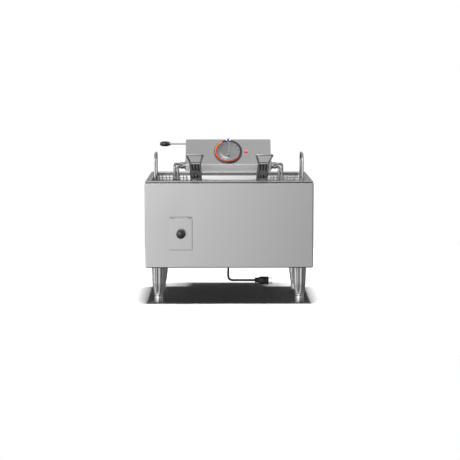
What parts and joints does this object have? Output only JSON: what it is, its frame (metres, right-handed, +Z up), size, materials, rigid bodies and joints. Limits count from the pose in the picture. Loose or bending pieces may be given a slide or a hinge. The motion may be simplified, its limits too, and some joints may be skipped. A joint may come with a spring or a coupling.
{
  "type": "countertop deep fryer",
  "caption": "Electric twin-basket countertop deep fryer with swing-up elements, sloped control head, dial, drain door, cast legs and cord.",
  "frame": {"origin": "on the counter, in the middle of the object's own footprint, cord left out", "axes": "+X to the right as seen from the front, +Y to the back, +Z up"},
  "size_m": [0.457, 0.5934, 0.4351],
  "materials": {
    "cabinet_steel": "brushed stainless sheet",
    "tank_steel": "satin stainless sheet",
    "head_steel": "satin stainless sheet",
    "wire_chrome": "nickel-plated steel wire",
    "basket_wire": "nickel-plated wire mesh",
    "cast_leg": "cast, polished flutes",
    "foot_chrome": "polished",
    "zinc_screw": "zinc-plated steel",
    "dial_black": "black",
    "dial_heat": "orange to red",
    "dial_silver": "satin",
    "control_plastic": "phenolic",
    "ceramic_white": "white",
    "lens_red": "translucent red",
    "knob_black": "black phenolic",
    "bush_brass": "turned brass",
    "element_steel": "alloy-sheathed tube",
    "bulb_copper": "copper",
    "handle_insert": "black",
    "valve_steel": "polished ball",
    "lever_red": "red vinyl-dipped steel",
    "cord_rubber": "black jacket",
    "plug_rubber": "moulded black",
    "blade_brass": "plated"
  },
  "bodies": {
    "cabinet": {"body_wrap": "cabinet_steel", "rear_panel": "cabinet_steel", "bottom_pan": "cabinet_steel", "fry_tank": "tank_steel", "leg_front_left": "cast_leg", "leg_front_right": "cast_leg", "leg_rear_left": "cast_leg", "leg_rear_right": "cast_leg", "leg_bolts": "zinc_screw", "head_housing": "head_steel", "head_back_cover": "head_steel", "head_screws": "zinc_screw", "dial_ring": "dial_black", "dial_heat_arc": "dial_heat", "thermostat_body": "control_plastic", "high_limit": "ceramic_white", "terminal_block": "control_plastic", "pilot_lens": "lens_red", "pilot_body": "ceramic_white", "latch_bush": "bush_brass", "latch_spring": "wire_chrome", "pivot_bushes": "bush_brass", "door_hinge_leaf": "zinc_screw", "door_hinge_pin": "zinc_screw", "drain_pipe": "bush_brass", "valve_body": "bush_brass", "cord_grip": "cord_rubber", "cord": "cord_rubber", "plug_body": "plug_rubber", "plug_blades": "blade_brass"},
    "dial": {"thermostat_dial": "dial_silver", "dial_shaft": "bush_brass"},
    "latch": {"latch_rod": "wire_chrome", "latch_knob": "knob_black"},
    "elements": {"pivot_shaft": "element_steel", "element_left": "element_steel", "element_right": "element_steel", "element_clamps": "zinc_screw", "thermostat_bulb": "bulb_copper"},
    "rack": {"crumb_rack": "tank_steel", "lift_handle_left": "wire_chrome", "lift_handle_right": "wire_chrome", "rack_guards": "wire_chrome"},
    "left_basket": {"basket_left": "basket_wire", "basket_rim_left": "basket_wire", "basket_handle_left": "wire_chrome", "handle_core_left": "handle_insert"},
    "right_basket": {"basket_right": "basket_wire", "basket_rim_right": "basket_wire", "basket_handle_right": "wire_chrome", "handle_core_right": "handle_insert"},
    "door": {"drain_door": "cabinet_steel", "door_knob": "knob_black"},
    "valve": {"valve_ball": "valve_steel", "valve_lever": "lever_red"},
    "foot_fl": {"foot_front_left": "foot_chrome"},
    "foot_fr": {"foot_front_right": "foot_chrome"},
    "foot_rl": {"foot_rear_left": "foot_chrome"},
    "foot_rr": {"foot_rear_right": "foot_chrome"}
  },
  "joints": [
    {"name": "thermostat_turn", "type": "hinge", "parent": "cabinet", "child": "dial", "pos_m": [0, 0.23625, 0.3999], "axis": [0, 0.7716, -0.6361], "range_deg": [0, 270]},
    {"name": "latch_pull", "type": "slide", "parent": "cabinet", "child": "latch", "axis": [-1, 0, 0], "range_m": [0, 0.01], "stiffness_N_per_m": 400, "springref_m": -0.004},
    {"name": "rack_lift", "type": "slide", "parent": "cabinet", "child": "rack", "axis": [0, 0, 1], "range_m": [0, 0.5]},
    {"name": "element_swing", "type": "hinge", "parent": "cabinet", "child": "elements", "pos_m": [0, 0.22381, 0.3604], "axis": [-1, 0, 0], "range_deg": [0, 85]},
    {"name": "left_basket_lift", "type": "slide", "parent": "rack", "child": "left_basket", "axis": [0, 0, 1], "range_m": [0, 0.2]},
    {"name": "right_basket_lift", "type": "slide", "parent": "rack", "child": "right_basket", "axis": [0, 0, 1], "range_m": [0, 0.2]},
    {"name": "door_swing", "type": "hinge", "parent": "cabinet", "child": "door", "pos_m": [-0.132, -0.14909, 0.2444], "axis": [-1, 0, 0], "range_deg": [0, 100]},
    {"name": "drain_valve_turn", "type": "hinge", "parent": "cabinet", "child": "valve", "pos_m": [-0.132, -0.11169, 0.1674], "axis": [0, 0, -1], "range_deg": [0, 90]},
    {"name": "front_left_foot_level", "type": "slide", "parent": "cabinet", "child": "foot_fl", "axis": [0, 0, -1], "range_m": [0, 0.02]},
    {"name": "front_right_foot_level", "type": "slide", "parent": "cabinet", "child": "foot_fr", "axis": [0, 0, -1], "range_m": [0, 0.02]},
    {"name": "rear_left_foot_level", "type": "slide", "parent": "cabinet", "child": "foot_rl", "axis": [0, 0, -1], "range_m": [0, 0.02]},
    {"name": "rear_right_foot_level", "type": "slide", "parent": "cabinet", "child": "foot_rr", "axis": [0, 0, -1], "range_m": [0, 0.02]}
  ],
  "couplings": [
    {"joint": "element_swing", "follows": "rack_lift", "rad_per_m": 2.96}
  ]
}
